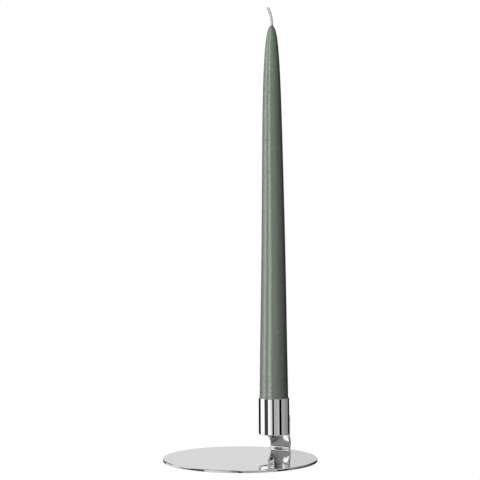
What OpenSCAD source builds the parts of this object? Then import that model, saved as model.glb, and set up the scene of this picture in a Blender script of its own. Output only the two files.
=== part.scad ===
// Candlestick: a round plate whose neck is bent up at the rim, a candle cup
// fixed to the neck, and a tapered dinner candle with its wick.
// The origin is the centre of the plate's underside. +Z is up and the neck is at +Y.

/* [Plate] */
// Diameter of the round plate
plate_d = 119; // [100:1:160]
// Thickness of the sheet that forms the plate and the neck
sheet_t = 2; // [1.7:0.1:3]
// Radius that rounds the plate's upper edge
rim_r = 0.5; // [0.3:0.1:1]
// Radius that rounds the plate's lower edge
foot_r = 0.5; // [0.2:0.1:0.6]

/* [Neck] */
// Width of the neck
neck_w = 18.6; // [16:0.2:22]
// Inside radius of the bend that lifts the neck off the plate
bend_r = 2.8; // [1:0.2:4]
// Length of neck that lies against the back of the cup
neck_lap = 14; // [8:1:22]
// Clear slit at each side of the neck's root
relief_w = 0.4; // [0.2:0.1:1]

/* [Cup] */
// Outside diameter of the cup
cup_d = 24.6; // [24.2:0.1:26]
// Height of the cup
cup_h = 28.8; // [24:0.1:40]
// Thickness of the cup's wall
cup_wall = 0.6; // [0.4:0.1:0.8]
// Thickness of the cup's floor
cup_floor = 0.6; // [0.4:0.1:2]
// Depth that the cup's floor is set in from its lower edge
foot_recess = 0.6; // [0.3:0.1:2]
// Radius that rounds the cup's lower edge
cup_edge_r = 0.5; // [0.3:0.1:1]
// Distance of the cup's axis in from the plate's rim
cup_inset = 13.5; // [13.5:0.5:20]
// Distance of the cup's axis to the right of the neck's middle
cup_side = 2.2; // [-3:0.1:3]
// Gap between the plate and the underside of the cup
cup_gap = 13.1; // [10:0.1:20]

/* [Candle] */
// Length of the wax
candle_l = 324.2; // [150:0.2:350]
// Diameter of the foot that stands in the cup
candle_foot_d = 22.8; // [20:0.1:22.8]
// Diameter that the tip's small nose adds
nose_d = 6.4; // [5:0.1:7]
// Diameter that the long shoulder under the nose adds
shoulder_d = 7.2; // [6:0.1:9]
// Growth in diameter for each millimetre further down
taper = 0.031; // [0.02:0.001:0.04]

/* [Wick] */
// Diameter of the cotton wick
wick_d = 2.4; // [1.6:0.1:3]
// Straight length of wick above the wax
wick_up = 7; // [4:0.5:12]
// Radius of the curl at the wick's end
curl_r = 9; // [5:0.5:15]
// Angle that the curl turns through
curl_turn = 48; // [10:1:80]
// Direction that the curl leans towards, turned from +X
curl_to = 213; // [0:1:360]

/* [Hidden] */
$fn = 128;
// Joint line left between the neck and the cup, so that the two sheets touch but never cross.
seam = 0.05;
cup_back = plate_d / 2 - cup_inset;
neck_inner_r = cup_d / 2 + seam;
neck_inner_y = cup_back + neck_inner_r;
neck_root_y = neck_inner_y - bend_r;
neck_top_z = sheet_t + cup_gap + neck_lap;
cup_bottom_z = sheet_t + cup_gap;
cup_floor_z = foot_recess + cup_floor;
cup_inner_r = 0.4;
cup_inner_x = cup_d / 2 - cup_wall - cup_inner_r;
candle_foot_z = cup_bottom_z + cup_floor_z;
candle_top_z = candle_foot_z + candle_l;
profile_steps = 64;
foot_chamfer = cup_inner_r + 0.7;
nose_fall = 4.7;
shoulder_fall = 26;
curl_steps = 4;
// The neck is a sheet swept from its root, round the bend and up behind the cup.
root_lap = 0.5;
bend_steps = 6;
roll_steps = 8;
lap_steps = 1;
sweep_steps = bend_steps + roll_steps + lap_steps + 1;
across_steps = 10;
edge_steps = 3;
// The flat sheet curls to the cup's roundness between the bend and a little below the cup.
roll_lead = 3.5;
roll_z = sheet_t + bend_r;
roll_end_z = cup_bottom_z - roll_lead;
roll_power = 2.2;
edge_r = 0.7;

// Share of the cup's curvature that the neck has taken up at height z.
function roll(z) = z <= roll_z ? 0 : pow(min(1, (z - roll_z) / (roll_end_z - roll_z)), roll_power);

// Height above the root of one station that lies past the bend.
function rise(i) = i <= roll_steps
    ? roll_z + (roll_end_z - roll_z) * i / roll_steps
    : roll_end_z + (neck_top_z - roll_end_z) * (i - roll_steps) / lap_steps;

// Point across the flat sheet's width u and depth w, placed at a station of the sweep.
function bend_point(u, w, a) = [
    u,
    neck_root_y + (bend_r + w) * sin(a),
    sheet_t + bend_r - (bend_r + w) * cos(a)
];
function roll_point(u, w, z) =
    let (k = max(roll(z), 0.001) / neck_inner_r, a = (u - cup_side) * k * 180 / PI)
    [
        cup_side + (1 / k + w) * sin(a),
        neck_inner_y - 1 / k + (1 / k + w) * cos(a),
        z
    ];
function station(i, u, w) =
    i == 0 ? bend_point(u, w, 0) - [0, root_lap, 0] :
    i <= bend_steps + 1 ? bend_point(u, w, 90 * (i - 1) / bend_steps) :
    roll_point(u, w, rise(i - bend_steps - 1));

// Outline of the sheet's cross-section, with its long edges rounded.
function corner(cu, cw, from) = [
    for (j = [0 : edge_steps])
        let (a = from + 90 * j / edge_steps)
        [cu + edge_r * cos(a), cw + edge_r * sin(a)]
];
function face(w, from, to) = [
    for (j = [1 : across_steps - 1])
        [from + (to - from) * j / across_steps, w]
];
half_w = neck_w / 2 - edge_r;
outline = concat(
    corner(half_w, sheet_t - edge_r, 0),
    face(sheet_t, half_w, -half_w),
    corner(-half_w, sheet_t - edge_r, 90),
    corner(-half_w, edge_r, 180),
    face(0, -half_w, half_w),
    corner(half_w, edge_r, 270)
);
ring = len(outline);

// Diameter of the wax at a distance s below the tip.
function wax_d(s) = min(
    candle_foot_d,
    nose_d * sqrt(1 - exp(-s / nose_fall)) + shoulder_d * (1 - exp(-s / shoulder_fall)) + taper * s
);

module plate_disc() {
    rotate_extrude() {
        square([plate_d / 2 - rim_r, sheet_t]);
        translate([plate_d / 2 - rim_r, sheet_t - rim_r]) circle(rim_r);
        translate([plate_d / 2 - rim_r - 1, foot_r]) square([rim_r + 1, sheet_t - rim_r - foot_r]);
        square([plate_d / 2 - foot_r, foot_r]);
        translate([plate_d / 2 - foot_r, foot_r]) circle(foot_r);
    }
}

module neck_sheet() {
    points = [
        for (i = [0 : sweep_steps])
            for (p = outline)
                station(i, p[0], p[1])
    ];
    sides = [
        for (i = [0 : sweep_steps - 1])
            for (j = [0 : ring - 1])
                let (a = i * ring + j, b = i * ring + (j + 1) % ring)
                for (t = [[a, a + ring, b + ring], [a, b + ring, b]])
                    t
    ];
    start = [[for (j = [0 : ring - 1]) j]];
    end = [[for (j = [0 : ring - 1]) sweep_steps * ring + ring - 1 - j]];
    polyhedron(points, concat(sides, start, end), convexity = 6);
}

module base_plate() {
    color("Silver") {
        difference() {
            plate_disc();
            translate([-neck_w / 2 - relief_w, neck_root_y, -1])
                cube([neck_w + 2 * relief_w, plate_d / 2, sheet_t + 2]);
        }
        neck_sheet();
    }
}

module candle_cup() {
    color("Gainsboro")
    translate([cup_side, cup_back, cup_bottom_z])
    rotate_extrude()
    difference() {
        union() {
            square([cup_d / 2 - cup_edge_r, cup_edge_r]);
            translate([cup_d / 2 - cup_edge_r, cup_edge_r]) circle(cup_edge_r);
            translate([0, cup_edge_r]) square([cup_d / 2, cup_h - cup_edge_r]);
        }
        translate([0, -1]) square([cup_d / 2 - cup_wall, foot_recess + 1]);
        translate([0, cup_floor_z]) square([cup_inner_x, cup_h]);
        translate([cup_inner_x, cup_floor_z + cup_inner_r]) circle(cup_inner_r);
        translate([0, cup_floor_z + cup_inner_r]) square([cup_d / 2 - cup_wall, cup_h]);
    }
}

module candle() {
    color("DarkSeaGreen")
    translate([cup_side, cup_back, candle_foot_z])
    difference() {
        rotate_extrude()
            polygon(concat(
                [[0, 0], [candle_foot_d / 2 - foot_chamfer, 0]],
                [
                    for (i = [profile_steps : -1 : 1])
                        let (s = (candle_l - foot_chamfer) * pow(i / profile_steps, 2))
                        [wax_d(s) / 2, candle_l - s]
                ],
                [[0, candle_l]]
            ));
        translate([0, 0, -1]) cylinder(d = wick_d + 0.1, h = candle_l + 2);
    }
}

module curl_at(i) {
    a = curl_turn * i / curl_steps;
    translate([curl_r * (1 - cos(a)), 0, curl_r * sin(a)])
    rotate([0, a, 0])
    children();
}

module wick() {
    color("Ivory")
    translate([cup_side, cup_back, candle_foot_z]) {
        cylinder(d = wick_d, h = candle_l + wick_up);
        translate([0, 0, candle_l + wick_up])
        rotate([0, 0, curl_to])
        for (i = [0 : curl_steps])
            curl_at(i) {
                sphere(d = wick_d + 0.06);
                if (i < curl_steps)
                    rotate([0, curl_turn / curl_steps / 2, 0])
                    cylinder(d = wick_d, h = 2 * curl_r * sin(curl_turn / curl_steps / 2));
            }
    }
}

base_plate();
candle_cup();
candle();
wick();
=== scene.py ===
"""Looks for the silver candlestick: a plate with a bent-up neck, a cup, a dinner candle and its wick."""

import math

import bmesh
import bpy
from mathutils import Matrix, Vector


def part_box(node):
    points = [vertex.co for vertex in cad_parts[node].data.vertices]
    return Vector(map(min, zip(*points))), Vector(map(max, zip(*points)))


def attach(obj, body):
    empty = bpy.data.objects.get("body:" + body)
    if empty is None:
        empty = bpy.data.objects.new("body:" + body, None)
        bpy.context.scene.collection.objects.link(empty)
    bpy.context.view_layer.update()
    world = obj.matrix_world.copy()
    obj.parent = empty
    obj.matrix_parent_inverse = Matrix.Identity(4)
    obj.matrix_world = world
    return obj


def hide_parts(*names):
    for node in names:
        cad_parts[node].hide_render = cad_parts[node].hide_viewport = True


MM = 0.001
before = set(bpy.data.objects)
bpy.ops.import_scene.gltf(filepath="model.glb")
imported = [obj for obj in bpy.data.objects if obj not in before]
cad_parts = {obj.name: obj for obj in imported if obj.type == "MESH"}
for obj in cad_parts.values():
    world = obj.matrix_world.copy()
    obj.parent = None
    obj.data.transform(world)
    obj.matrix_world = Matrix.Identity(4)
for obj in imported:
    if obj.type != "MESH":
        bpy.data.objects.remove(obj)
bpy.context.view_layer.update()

# ---------------------------------------------------------------- sizes shared with the CAD model

NECK_TOP_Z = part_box("base_plate")[1].z
CUP_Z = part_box("candle_cup")[0].z
CANDLE_FOOT_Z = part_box("candle")[0].z

# The plate is a hair smaller than the CAD model's, so that its finer mesh stays inside the CAD model's box.
PLATE_R = 59.48 * MM
SHEET_T = 2 * MM
RIM_R = 0.5 * MM
FOOT_R = 0.5 * MM

NECK_W = 18.6 * MM
NECK_EDGE_R = 0.7 * MM
BEND_R = 2.8 * MM
RELIEF_W = 0.4 * MM

CUP_X = 2.2 * MM
CUP_Y = 46 * MM
CUP_H = 28.8 * MM
CUP_R = 12.3 * MM
CUP_WALL = 0.6 * MM
CUP_FLOOR = 0.6 * MM
CUP_RECESS = 0.6 * MM
CUP_EDGE_R = 0.5 * MM
CUP_INNER_R = 0.4 * MM
LIP_R = 0.12 * MM

SEAM = 0.05 * MM
NECK_INNER_R = CUP_R + SEAM
NECK_INNER_Y = CUP_Y + NECK_INNER_R
NECK_ROOT_Y = NECK_INNER_Y - BEND_R
ROLL_START_Z = SHEET_T + BEND_R
ROLL_END_Z = CUP_Z - 3.5 * MM
ROLL_POWER = 2.2

CANDLE_L = 324.2 * MM
CANDLE_R = 11.4 * MM
CANDLE_CHAMFER = CUP_INNER_R + 0.7 * MM
NOSE_D = 6.4 * MM
NOSE_FALL = 4.7 * MM
SHOULDER_D = 7.2 * MM
SHOULDER_FALL = 26 * MM
TAPER = 0.031

WICK_D = 2.4 * MM
WICK_L = 14.8 * MM
WICK_BEND_R = 31.8 * MM
WICK_BEND_TO = math.radians(213)

# ---------------------------------------------------------------- what only the looks have

# The camera is level and looks along this azimuth, turned from +Y towards -X.
VIEW_TURN = math.radians(33.15)
LOOK = Vector((-math.sin(VIEW_TURN), math.cos(VIEW_TURN), 0))
RIGHT = Vector((math.cos(VIEW_TURN), math.sin(VIEW_TURN), 0))
CAMERA_DISTANCE = 1067.3 * MM
CAMERA_HEIGHT = 169.4 * MM
CAMERA_ASIDE = -0.19 * MM

# Both in millimetres, as the camera takes them.
LENS = 104.1
SENSOR_W = 36

# The cup and the candle lean a little to the camera's left, and the cup narrows by this share on its way up.
CUP_LEAN = math.radians(0.45)
CUP_TAPER = 0.005
CANDLE_LEAN = math.radians(0.33)

# From this height above its foot, the candle bows first to the camera's right and then to its left.
BOW = 0.24 * MM
BOW_START = 66 * MM
BOW_HALF = 139 * MM

# Dipping leaves the wax uneven above the cup. A two-sided and a three-sided ripple, each a share of the
# wax's radius, turn on their way up by so many radians in a metre.
RIPPLE_START = 40 * MM
RIPPLE_FADE = 50 * MM
TWO_SIDED = 0.003
TWO_SIDED_TWIST = 21
THREE_SIDED = 0.0018
THREE_SIDED_TWIST = -37
THREE_SIDED_START = 1

# Three cotton strands make one full turn in each lay of the wick. They start inside the wax, and narrow to
# a share of their radius over the tip's length.
STRANDS = 3
STRAND_R = 0.27 * WICK_D
STRAND_OFFSET = 0.23 * WICK_D
WICK_LAY = 4.2 * MM
WICK_ROOT = -2 * MM
WICK_TIP_SHARE = 0.55
WICK_TIP_LENGTH = 1 * MM

# A radius under this counts as a point on a lathe's axis.
ON_AXIS = 1e-7


# ---------------------------------------------------------------- mesh helpers

def arc(cx, cy, r, start, end, steps):
    """Points on an arc, with its angles in degrees."""
    points = []
    for i in range(steps + 1):
        a = math.radians(start + (end - start) * i / steps)
        points.append((cx + r * math.cos(a), cy + r * math.sin(a)))
    return points


def add_object(name, mesh, material):
    """Puts a mesh into the scene as an object with one material."""
    obj = bpy.data.objects.new(name, mesh)
    bpy.context.scene.collection.objects.link(obj)
    mesh.materials.append(material)
    return obj


def smooth_object(name, bm, material):
    """Makes an object with smooth faces from a finished bmesh, and frees the bmesh."""
    bmesh.ops.recalc_face_normals(bm, faces=bm.faces)
    mesh = bpy.data.meshes.new(name)
    bm.to_mesh(mesh)
    bm.free()
    for p in mesh.polygons:
        p.use_smooth = True
    return add_object(name, mesh, material)


def lean(obj, angle):
    """Tips a finished mesh sideways, to the camera's left, about the middle of the cup's foot."""
    foot = Matrix.Translation((CUP_X, CUP_Y, CUP_Z))
    obj.data.transform(foot @ Matrix.Rotation(-angle, 4, LOOK) @ foot.inverted())


def lathe(name, profile, segments, material, centre=(0, 0, 0), wobble=None):
    """Turns a profile of (radius, height) points, which starts and ends on the axis, into a closed mesh."""
    bm = bmesh.new()
    cx, cy, cz = centre
    rings = []
    for r, z in profile:
        if r < ON_AXIS:
            rings.append([bm.verts.new((cx, cy, cz + z))])
            continue
        ring = []
        for k in range(segments):
            a = 2 * math.pi * k / segments
            reach = r + (wobble(r, z, a) if wobble else 0)
            ring.append(bm.verts.new((cx + reach * math.cos(a), cy + reach * math.sin(a), cz + z)))
        rings.append(ring)
    for low, high in zip(rings, rings[1:]):
        for k in range(segments):
            n = (k + 1) % segments
            if len(low) == 1:
                bm.faces.new((low[0], high[k], high[n]))
            elif len(high) == 1:
                bm.faces.new((low[k], high[0], low[n]))
            else:
                bm.faces.new((low[k], high[k], high[n], low[n]))
    return smooth_object(name, bm, material)


def add_tube(bm, rings):
    """Joins equal rings of points into a tube that is closed at both ends."""
    verts = [[bm.verts.new(p) for p in ring] for ring in rings]
    count = len(rings[0])
    for low, high in zip(verts, verts[1:]):
        for k in range(count):
            n = (k + 1) % count
            bm.faces.new((low[k], low[n], high[n], high[k]))
    bm.faces.new(list(reversed(verts[0])))
    bm.faces.new(verts[-1])


def cut_box(obj, low, high):
    """Cuts a box out of an object for good."""
    low, high = Vector(low), Vector(high)
    bm = bmesh.new()
    bmesh.ops.create_cube(bm, size=1)
    stretch = Matrix.Diagonal((*(high - low), 1))
    bmesh.ops.transform(bm, matrix=Matrix.Translation((low + high) / 2) @ stretch, verts=bm.verts)
    mesh = bpy.data.meshes.new("cutter")
    bm.to_mesh(mesh)
    bm.free()
    cutter = bpy.data.objects.new("cutter", mesh)
    bpy.context.scene.collection.objects.link(cutter)
    boolean = obj.modifiers.new("cut", "BOOLEAN")
    boolean.object = cutter
    boolean.solver = "EXACT"
    bpy.context.view_layer.update()
    result = bpy.data.meshes.new_from_object(obj.evaluated_get(bpy.context.evaluated_depsgraph_get()))
    obj.modifiers.clear()
    obj.data = result
    bpy.data.objects.remove(cutter)


# ---------------------------------------------------------------- material helpers

class Nodes:
    """Short names for building a node tree."""

    def __init__(self, tree):
        self.tree = tree
        tree.nodes.clear()

    def add(self, kind, **values):
        """A new node with some of its settings."""
        node = self.tree.nodes.new(kind)
        for key, value in values.items():
            setattr(node, key, value)
        return node

    def link(self, a, b):
        self.tree.links.new(a, b)

    def math(self, operation, *values):
        """One Math node, fed with numbers and sockets."""
        node = self.add("ShaderNodeMath", operation=operation)
        for socket, value in zip(node.inputs, values):
            if isinstance(value, (int, float)):
                socket.default_value = value
            else:
                self.link(value, socket)
        return node.outputs[0]

    def smooth(self, value, start, end):
        """A smooth step from 0 at start to 1 at end, level past both. The start may be the larger."""
        node = self.add("ShaderNodeMapRange", interpolation_type="SMOOTHSTEP")
        self.link(value, node.inputs["Value"])
        node.inputs["From Min"].default_value = start
        node.inputs["From Max"].default_value = end
        return node.outputs["Result"]

    def ramp(self, value, start, end, from_value, to_value):
        """A straight ramp between two values, held level past its ends."""
        node = self.add("ShaderNodeMapRange")
        self.link(value, node.inputs["Value"])
        node.inputs["From Min"].default_value = start
        node.inputs["From Max"].default_value = end
        node.inputs["To Min"].default_value = from_value
        node.inputs["To Max"].default_value = to_value
        return node.outputs["Result"]

    def mix(self, factor, a, b):
        """Mixes two greys or colours by a factor."""
        node = self.add("ShaderNodeMix", data_type="RGBA")
        self.link(factor, node.inputs["Factor"])
        for socket, value in ((node.inputs["A"], a), (node.inputs["B"], b)):
            if isinstance(value, (int, float)):
                socket.default_value = (value, value, value, 1)
            elif isinstance(value, tuple):
                socket.default_value = (*value, 1)
            else:
                self.link(value, socket)
        return node.outputs["Result"]

    def mix_shaders(self, factor, a, b):
        """Shows shader a where the factor is 0, and shader b where it is 1."""
        node = self.add("ShaderNodeMixShader")
        for socket, source in zip(node.inputs, (factor, a, b)):
            self.link(source, socket)
        return node.outputs[0]

    def noise(self, where, scale, detail):
        """Noise from 0 to 1 at a place, with about so many lumps in a metre."""
        node = self.add("ShaderNodeTexNoise")
        node.inputs["Scale"].default_value = scale
        node.inputs["Detail"].default_value = detail
        self.link(where, node.inputs["Vector"])
        return node.outputs["Fac"]


class Surface(Nodes):
    """A new material with one Principled shader, painted by noise that is fixed to the piece."""

    def __init__(self, name):
        self.material = bpy.data.materials.new(name)
        self.material.use_nodes = True
        super().__init__(self.material.node_tree)
        out = self.add("ShaderNodeOutputMaterial")
        self.shader = self.add("ShaderNodeBsdfPrincipled")
        self.link(self.shader.outputs[0], out.inputs["Surface"])
        self.where = self.add("ShaderNodeTexCoord").outputs["Object"]

    def colour(self, factor, dark, light):
        """Paints the surface between two colours."""
        self.link(self.mix(factor, dark, light), self.shader.inputs["Base Color"])

    def roughness(self, factor, least, spread):
        """Roughness that goes up from the least by the factor's share of the spread."""
        self.link(self.math("MULTIPLY_ADD", factor, spread, least), self.shader.inputs["Roughness"])

    def bump(self, height, strength, distance):
        """Fine relief that tilts the light but doesn't move the surface."""
        node = self.add("ShaderNodeBump")
        node.inputs["Strength"].default_value = strength
        node.inputs["Distance"].default_value = distance
        self.link(height, node.inputs["Height"])
        self.link(node.outputs[0], self.shader.inputs["Normal"])

    def set(self, name, value):
        """Sets one of the shader's own sockets, the same all over the surface."""
        self.shader.inputs[name].default_value = value


def polished_silver(name, haze):
    """Mirror-polished silver plate with faint buffing marks and slight haze."""
    silver = Surface(name)
    clouds = silver.noise(silver.where, scale=45, detail=4)
    marks = silver.noise(silver.where, scale=900, detail=3)
    silver.set("Metallic", 1)
    silver.colour(clouds, (0.925, 0.925, 0.93), (0.945, 0.944, 0.945))
    silver.roughness(clouds, least=0.004, spread=haze)
    silver.bump(marks, strength=0.02, distance=0.01 * MM)
    return silver.material


def dipped_wax():
    """Satin sage-green wax with faint streaks left by dipping."""
    wax = Surface("dipped_wax")
    along = wax.add("ShaderNodeMapping")
    along.inputs["Location"].default_value = (-CUP_X, -CUP_Y, 0)
    along.inputs["Scale"].default_value = (1, 1, 0.02)
    wax.link(wax.where, along.inputs["Vector"])
    streaks = wax.noise(along.outputs[0], scale=520, detail=3)
    mottle = wax.noise(wax.where, scale=160, detail=5)
    wax.colour(streaks, (0.154, 0.184, 0.151), (0.186, 0.217, 0.181))
    wax.roughness(mottle, least=0.21, spread=0.1)
    wax.set("Subsurface Weight", 0.15)
    wax.set("Subsurface Radius", (1, 1, 0.8))
    wax.set("Subsurface Scale", 1.5 * MM)
    wax.set("IOR", 1.45)
    height = wax.math("ADD", wax.math("MULTIPLY", streaks, 0.9), wax.math("MULTIPLY", mottle, 0.1))
    wax.bump(height, strength=0.12, distance=0.1 * MM)
    return wax.material


def waxed_cotton():
    """Pale cotton with a thin coat of wax."""
    cotton = Surface("waxed_cotton")
    fibres = cotton.noise(cotton.where, scale=2500, detail=4)
    cotton.colour(fibres, (0.54, 0.535, 0.53), (0.74, 0.735, 0.73))
    cotton.roughness(fibres, least=0.45, spread=0.3)
    cotton.bump(fibres, strength=0.5, distance=0.1 * MM)
    return cotton.material


# ---------------------------------------------------------------- the pieces

def build_plate(material):
    """The round plate with its rounded rim, cut away where the neck bends up out of it."""
    profile = [(0, 0)]
    profile += arc(PLATE_R - FOOT_R, FOOT_R, FOOT_R, -90, 0, 8)
    profile += arc(PLATE_R - RIM_R, SHEET_T - RIM_R, RIM_R, 0, 90, 20)
    profile += [(0, SHEET_T)]
    plate = lathe("plate_disc", profile, 512, material)
    reach = NECK_W / 2 + RELIEF_W
    past_rim = PLATE_R + 10 * MM
    cut_box(plate, (-reach, NECK_ROOT_Y, -SHEET_T), (reach, past_rim, 2 * SHEET_T))
    level = 0.9999
    for p in plate.data.polygons:
        on_rim = abs(p.center.xy.length - PLATE_R) < 1.2 * RIM_R
        p.use_smooth = on_rim and abs(p.normal.z) < level
    return plate


def bend_point(angle, u, w):
    """A point on the neck's bend, where u runs across the sheet and w through it."""
    r = BEND_R + w
    return (u, NECK_ROOT_Y + r * math.sin(angle), ROLL_START_Z - r * math.cos(angle))


def roll_share(z):
    """How much of the cup's curvature the neck has taken up at height z."""
    if z <= ROLL_START_Z:
        return 0
    return min(1, (z - ROLL_START_Z) / (ROLL_END_Z - ROLL_START_Z)) ** ROLL_POWER


def roll_point(z, u, w):
    """A point on the neck at height z, where the flat sheet curls to the cup's roundness."""
    nearly_flat = 0.001
    r = NECK_INNER_R / max(roll_share(z), nearly_flat)
    turn = (u - CUP_X) / r
    return (CUP_X + (r + w) * math.sin(turn), NECK_INNER_Y - r + (r + w) * math.cos(turn), z)


def build_neck(material):
    """The strip of the same sheet that bends up at the rim and rolls round the back of the cup."""
    edge = NECK_EDGE_R
    half = NECK_W / 2 - edge
    across = 60
    corner_steps = 8
    outline = arc(half, SHEET_T - edge, edge, 0, 90, corner_steps)
    outline += [(half - 2 * half * i / across, SHEET_T) for i in range(1, across)]
    outline += arc(-half, SHEET_T - edge, edge, 90, 180, corner_steps)
    outline += arc(-half, edge, edge, 180, 270, corner_steps)
    outline += [(-half + 2 * half * i / across, 0) for i in range(1, across)]
    outline += arc(half, edge, edge, 270, 360, corner_steps)
    bend_steps = 24
    roll_steps = 40
    lap_steps = 8
    angles = [math.radians(90 * i / bend_steps) for i in range(bend_steps + 1)]
    heights = [ROLL_START_Z + (ROLL_END_Z - ROLL_START_Z) * i / roll_steps for i in range(1, roll_steps + 1)]
    heights += [ROLL_END_Z + (NECK_TOP_Z - ROLL_END_Z) * i / lap_steps for i in range(1, lap_steps + 1)]
    rings = [[bend_point(angle, u, w) for u, w in outline] for angle in angles]
    rings += [[roll_point(z, u, w) for u, w in outline] for z in heights]
    bm = bmesh.new()
    add_tube(bm, rings)
    return smooth_object("neck", bm, material)


def build_cup(material):
    """The cup as one turned shell: a floor set in from the lower edge, a thin wall and a rounded lip."""
    # Extra rings this close to each corner keep the smooth wall's mirror images straight.
    near = 0.15 * MM
    bevel = 0.05 * MM
    inner_r = CUP_R - CUP_WALL
    floor_z = CUP_RECESS + CUP_FLOOR
    rim_z = CUP_H - LIP_R
    profile = [(0, CUP_RECESS), (inner_r - near, CUP_RECESS)]
    profile += [(inner_r, CUP_RECESS), (inner_r, CUP_RECESS - near)]
    profile += [(inner_r, near), (inner_r, bevel), (inner_r + bevel, 0)]
    profile += arc(CUP_R - CUP_EDGE_R, CUP_EDGE_R, CUP_EDGE_R, -90, 0, 16)
    profile += [(CUP_R, CUP_EDGE_R + near), (CUP_R, rim_z - near)]
    profile += arc(CUP_R - LIP_R, rim_z, LIP_R, 0, 90, 8)
    profile += arc(inner_r + LIP_R, rim_z, LIP_R, 90, 180, 8)
    profile += [(inner_r, rim_z - near), (inner_r, floor_z + CUP_INNER_R + near)]
    profile += arc(inner_r - CUP_INNER_R, floor_z + CUP_INNER_R, CUP_INNER_R, 0, -90, 12)
    profile += [(inner_r - CUP_INNER_R - near, floor_z), (0, floor_z)]
    profile = [(r * (1 - CUP_TAPER * z / CUP_H), z) for r, z in profile]
    cup = lathe("cup_shell", profile, 360, material, centre=(CUP_X, CUP_Y, CUP_Z))
    lean(cup, CUP_LEAN)
    return cup


def wax_radius(s):
    """Radius of the wax at a distance s below the tip."""
    nose = NOSE_D * math.sqrt(1 - math.exp(-s / NOSE_FALL))
    shoulder = SHOULDER_D * (1 - math.exp(-s / SHOULDER_FALL))
    return min(CANDLE_R, (nose + shoulder + TAPER * s) / 2)


def bow(z):
    """How far the candle bows to the camera's right at a height z above its foot."""
    return BOW * math.sin(math.pi * (z - BOW_START) / BOW_HALF) if z > BOW_START else 0


def wax_wobble(r, z, a):
    """What the ripple and the bow add to the wax's radius r at height z and angle a."""
    fade = min(1, max(0, (z - RIPPLE_START) / RIPPLE_FADE))
    ripple = TWO_SIDED * math.sin(2 * a + TWO_SIDED_TWIST * z)
    ripple += THREE_SIDED * math.sin(3 * a + THREE_SIDED_TWIST * z + THREE_SIDED_START)
    return fade * ripple * r + bow(z) * math.cos(a - VIEW_TURN)


def build_candle(material):
    """The dipped candle, with its long taper, its bow and the slight unevenness that dipping leaves."""
    steps = 260
    profile = [(0, 0), (CANDLE_R - CANDLE_CHAMFER, 0)]
    for i in range(steps, 0, -1):
        s = (CANDLE_L - CANDLE_CHAMFER) * (i / steps) ** 2
        profile.append((wax_radius(s), CANDLE_L - s))
    profile.append((0, CANDLE_L))
    foot = (CUP_X, CUP_Y, CANDLE_FOOT_Z)
    candle = lathe("dipped_candle", profile, 160, material, centre=foot, wobble=wax_wobble)
    lean(candle, CANDLE_LEAN)
    return candle


def wick_centre(s):
    """Middle of the wick at a length s above the wax, and the way it runs there."""
    a = max(s, 0) / WICK_BEND_R
    top = Vector((CUP_X, CUP_Y, CANDLE_FOOT_Z + CANDLE_L))
    aside = Vector((math.cos(WICK_BEND_TO), math.sin(WICK_BEND_TO), 0))
    rise = WICK_BEND_R * math.sin(a) + min(s, 0)
    place = top + Vector((0, 0, rise)) + aside * WICK_BEND_R * (1 - math.cos(a))
    return place, Vector((0, 0, math.cos(a))) + aside * math.sin(a)


def strand_ring(s, start_turn, around=12):
    """Points round one strand at a length s above the wax, with the strand's own place in the lay."""
    centre, along = wick_centre(s)
    off_course = Vector((0.3, 1, 0))
    side = along.cross(off_course).normalized()
    other = along.cross(side).normalized()
    turn = (s / WICK_LAY + start_turn) * 2 * math.pi
    middle = centre + (side * math.cos(turn) + other * math.sin(turn)) * STRAND_OFFSET
    r = STRAND_R * min(1, max(WICK_TIP_SHARE, (WICK_L - s) / WICK_TIP_LENGTH))
    angles = [2 * math.pi * k / around for k in range(around)]
    return [middle + (side * math.cos(b) + other * math.sin(b)) * r for b in angles]


def build_wick(material):
    """Three cotton strands twisted together, coated with wax."""
    steps = 90
    lengths = [WICK_ROOT + (WICK_L - WICK_ROOT) * i / steps for i in range(steps + 1)]
    bm = bmesh.new()
    for strand in range(STRANDS):
        add_tube(bm, [strand_ring(s, strand / STRANDS) for s in lengths])
    wick = smooth_object("cotton_wick", bm, material)
    lean(wick, CANDLE_LEAN)
    return wick


# ---------------------------------------------------------------- the studio

FLOOR_HALF = 6
FLOOR_GAP = 0.1 * MM


def build_floor():
    """A plain white table that lights nothing, and is clear from below so that the underside can be seen."""
    bm = bmesh.new()
    bmesh.ops.create_grid(bm, x_segments=1, y_segments=1, size=FLOOR_HALF)
    mesh = bpy.data.meshes.new("floor")
    bm.to_mesh(mesh)
    bm.free()
    material = bpy.data.materials.new("white_table")
    material.use_nodes = True
    n = Nodes(material.node_tree)
    out = n.add("ShaderNodeOutputMaterial")
    glow = n.add("ShaderNodeEmission")
    glow.inputs["Color"].default_value = (1, 1, 1, 1)
    glow.inputs["Strength"].default_value = 1
    clear = n.add("ShaderNodeBsdfTransparent")
    from_below = n.add("ShaderNodeNewGeometry").outputs["Backfacing"]
    n.link(n.mix_shaders(from_below, glow.outputs[0], clear.outputs[0]), out.inputs["Surface"])
    floor = add_object("floor", mesh, material)
    floor.location.z = -FLOOR_GAP
    floor.visible_glossy = False
    floor.visible_diffuse = False


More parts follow.
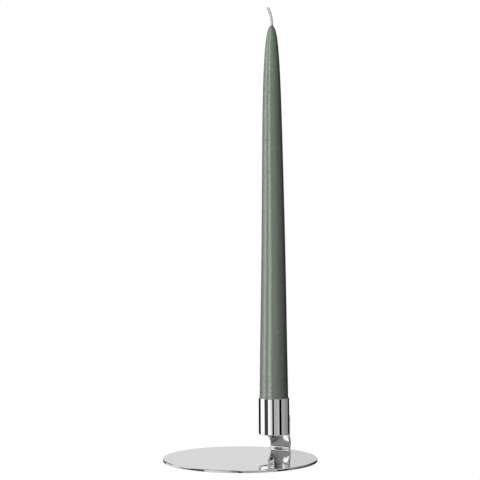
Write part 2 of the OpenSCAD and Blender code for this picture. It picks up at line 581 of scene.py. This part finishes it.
# The studio that the silver mirrors, in directions seen from the object. Each panel has a name, its first
# and last azimuth, its lowest and highest elevation, its brightness at the first and the last azimuth, and
# the softness of its upright and its level edges. Azimuths are from the camera's side and negative to its
# left, and all angles are in degrees. Later panels stand in front of earlier ones.
BACK_WALL = 0.3
PANELS = [
    ("left softbox", -119.5, -77, -90, 60, 1.06, 1.06, 1.5, 10),
    ("left softbox front", -90, -71, 4, 14, 1.0, 1.0, 3, 4),
    ("left gap", -77, -47, -90, 0, 0.05, 0.055, 1.5, 6),
    ("left gap high", -71, -15, 0, 20, 0.26, 0.06, 3, 6),
    ("left gap top", -76, -15, 20, 48, 0.1, 0.14, 6, 8),
    ("front left softbox", -46, -14.3, -90, -4, 1.16, 0.6, 1.5, 2),
    ("camera", -14.3, -0.7, -90, 16, 0.02, 0.02, 1.5, 6),
    ("front grey", -0.7, 25, -90, 0, 0.46, 0.42, 2, 6),
    ("front grey right", 25, 38.5, -90, 90, 0.52, 0.52, 3, 10),
    ("front light", -2, 60, 0, 26, 0.66, 0.62, 4, 6),
    ("front top right", -10, 40, 26, 60, 0.14, 0.14, 4, 8),
    ("right flag", 38.5, 57, -90, 12, 0.0, 0.0, 2, 10),
    ("right grey", 57, 126, -90, 25, 0.41, 0.21, 2, 10),
    ("right black", 126, 180, -90, 30, 0.0, 0.0, 3, 10),
    ("left black", -180, -119.5, -90, 0, 0.0, 0.0, 3, 10),
    ("overhead", -180, 180, 52, 90, 0.8, 0.8, 1, 10),
    ("left top", -88, -66, 56, 90, 0.1, 0.1, 6, 8),
    ("front top", -68, -10, 20, 90, 0.1, 0.14, 6, 8),
    ("low far left", -180, -144, -90, -8.5, 0.01, 0.01, 4, 0.6),
    ("low left light", -144, -102, -90, -8.5, 0.68, 0.62, 5, 0.6),
    ("low left middle", -102, -87, -90, -8.5, 0.3, 0.1, 6, 0.6),
    ("low left dark", -87, -54, -90, -8.5, 0.07, 0.07, 3, 0.6),
    ("low front left", -54, -10, -90, -8.5, 0.85, 0.42, 3, 0.6),
    ("low front middle", -10, -3, -90, -8.5, 0.24, 0.24, 4, 0.6),
    ("low camera", -3, 3.4, -90, -8.5, 0.01, 0.01, 2, 0.6),
    ("low front grey", 3.4, 56, -90, -8.5, 0.28, 0.5, 3, 0.6),
    ("low right flag", 56, 77, -90, -8.5, 0.03, 0.01, 3, 0.6),
    ("low right grey", 77, 92, -90, -8.5, 0.2, 0.14, 4, 0.6),
    ("low right dark", 92, 140, -90, -8.5, 0.09, 0.05, 4, 0.6),
    ("low far right", 140, 180, -90, -8.5, 0.0, 0.0, 4, 0.6),
    ("table behind, right", 166, 180, -90, 2, 1.0, 1.0, 3, 3),
    ("table behind, left", -180, -166, -90, 2, 1.0, 1.0, 3, 3),
    ("behind, right", 166, 180, 2, 90, 0.63, 0.63, 3, 3),
    ("behind, middle", 178.3, 180, 2, 90, 0.71, 0.71, 0.6, 3),
    ("behind, left", -180, -166, 2, 90, 0.71, 0.71, 3, 3),
]


def inside_panel(n, azimuth, elevation, sides, ends, side_soft, end_soft):
    """1 inside a panel and 0 outside it, with soft edges. A side at the end of its angle's range has none."""
    edges = []
    bounds = ((azimuth, sides, 180, side_soft), (elevation, ends, 90, end_soft))
    for angle, (low, high), limit, soft in bounds:
        if low > -limit:
            edges.append(n.smooth(angle, low - soft / 2, low + soft / 2))
        if high < limit:
            edges.append(n.smooth(angle, high + soft / 2, high - soft / 2))
    inside = edges[0]
    for edge in edges[1:]:
        inside = n.math("MULTIPLY", inside, edge)
    return inside


def build_world():
    """The studio round the object: bright panels, grey panels and black flags, fixed to the room."""
    world = bpy.data.worlds.new("studio")
    bpy.context.scene.world = world
    world.use_nodes = True
    n = Nodes(world.node_tree)
    out = n.add("ShaderNodeOutputWorld")
    way = n.add("ShaderNodeTexCoord").outputs["Generated"]
    turn = n.add("ShaderNodeMapping", vector_type="POINT")
    turn.inputs["Rotation"].default_value = (0, 0, -VIEW_TURN)
    n.link(way, turn.inputs["Vector"])
    xyz = n.add("ShaderNodeSeparateXYZ")
    n.link(turn.outputs[0], xyz.inputs[0])
    to_camera = n.math("MULTIPLY", xyz.outputs["Y"], -1.0)
    degrees = 180 / math.pi
    azimuth = n.math("MULTIPLY", n.math("ARCTAN2", xyz.outputs["X"], to_camera), degrees)
    elevation = n.math("MULTIPLY", n.math("ARCSINE", xyz.outputs["Z"]), degrees)
    light = BACK_WALL
    for name, first, last, lowest, highest, shade, last_shade, side_soft, end_soft in PANELS:
        inside = inside_panel(n, azimuth, elevation, (first, last), (lowest, highest), side_soft, end_soft)
        if shade != last_shade:
            shade = n.ramp(azimuth, first, last, shade, last_shade)
        light = n.mix(inside, light, shade)
        light.node.label = name
    studio = n.add("ShaderNodeBackground")
    n.link(light, studio.inputs["Color"])
    white = n.add("ShaderNodeBackground")
    white.inputs["Color"].default_value = (1, 1, 1, 1)
    seen = n.add("ShaderNodeLightPath").outputs["Is Camera Ray"]
    n.link(n.mix_shaders(seen, studio.outputs[0], white.outputs[0]), out.inputs["Surface"])
    world.cycles_visibility.diffuse = False


# Lamps for the candle: name, azimuth and elevation as in the panels, width and height in metres, power in
# watts, and whether the wax shows a reflection of it. The two strips reach down past the table, which keeps
# the direct light of their lower part from the wax.
STRIPS = [
    ("left strip", -85, 4, 0.5, 2.6, 19, True),
    ("front left strip", -36, 4, 0.5, 2.8, 31, True),
    ("front fill", 5, 10, 0.8, 1.5, 7.5, False),
    ("back fill", 165, 20, 0.8, 1.5, 30, False),
]
STRIP_DISTANCE = 1.5


def build_strips(pieces):
    """Softboxes that light only the wax and the wick, so that the silver keeps its dark reflections."""
    lit = bpy.data.collections.new("wax_and_wick")
    for piece in pieces:
        lit.objects.link(piece)
    middle = Vector((CUP_X, CUP_Y, CANDLE_FOOT_Z + CANDLE_L / 2))
    for name, azimuth, elevation, width, height, power, reflected in STRIPS:
        data = bpy.data.lights.new(name, "AREA")
        data.shape = "RECTANGLE"
        data.size = width
        data.size_y = height
        data.energy = power
        lamp = bpy.data.objects.new(name, data)
        lamp.visible_glossy = reflected
        bpy.context.scene.collection.objects.link(lamp)
        a = math.radians(azimuth)
        e = math.radians(elevation)
        way = (RIGHT * math.sin(a) - LOOK * math.cos(a)) * math.cos(e) + Vector((0, 0, math.sin(e)))
        lamp.location = middle + way * STRIP_DISTANCE
        lamp.rotation_euler = way.to_track_quat("Z", "Y").to_euler()
        lamp.light_linking.receiver_collection = lit


def build_camera():
    """A long lens, level, at the photograph's angle."""
    data = bpy.data.cameras.new("camera")
    camera = bpy.data.objects.new("camera", data)
    bpy.context.scene.collection.objects.link(camera)
    data.sensor_width = SENSOR_W
    data.lens = LENS
    data.clip_start = 0.05
    data.clip_end = 50
    camera.location = RIGHT * CAMERA_ASIDE - LOOK * CAMERA_DISTANCE + Vector((0, 0, CAMERA_HEIGHT))
    camera.rotation_euler = (math.radians(90), 0, VIEW_TURN)
    bpy.context.scene.camera = camera


def plain_view():
    """Shows the studio's brightness as it is, with no film curve."""
    view = bpy.context.scene.view_settings
    view.view_transform = "Standard"
    view.look = "None"
    view.exposure = 0
    view.gamma = 1


def main():
    """Makes the pieces, says which body each rides on, hides the CAD parts they take the place of, and sets
    up the studio.
    """
    plate_silver = polished_silver("plate_silver", haze=0.02)
    cup_silver = polished_silver("cup_silver", haze=0.016)
    wax = dipped_wax()
    cotton = waxed_cotton()

    for piece in (build_plate(plate_silver), build_neck(plate_silver)):
        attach(piece, "holder")
        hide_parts("base_plate")
    cup = build_cup(cup_silver)
    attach(cup, "holder")
    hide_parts("candle_cup")
    candle = build_candle(wax)
    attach(candle, "taper")
    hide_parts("candle")
    wick = build_wick(cotton)
    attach(wick, "taper")
    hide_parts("wick")

    build_floor()
    build_world()
    build_strips((candle, wick))
    build_camera()
    plain_view()


main()
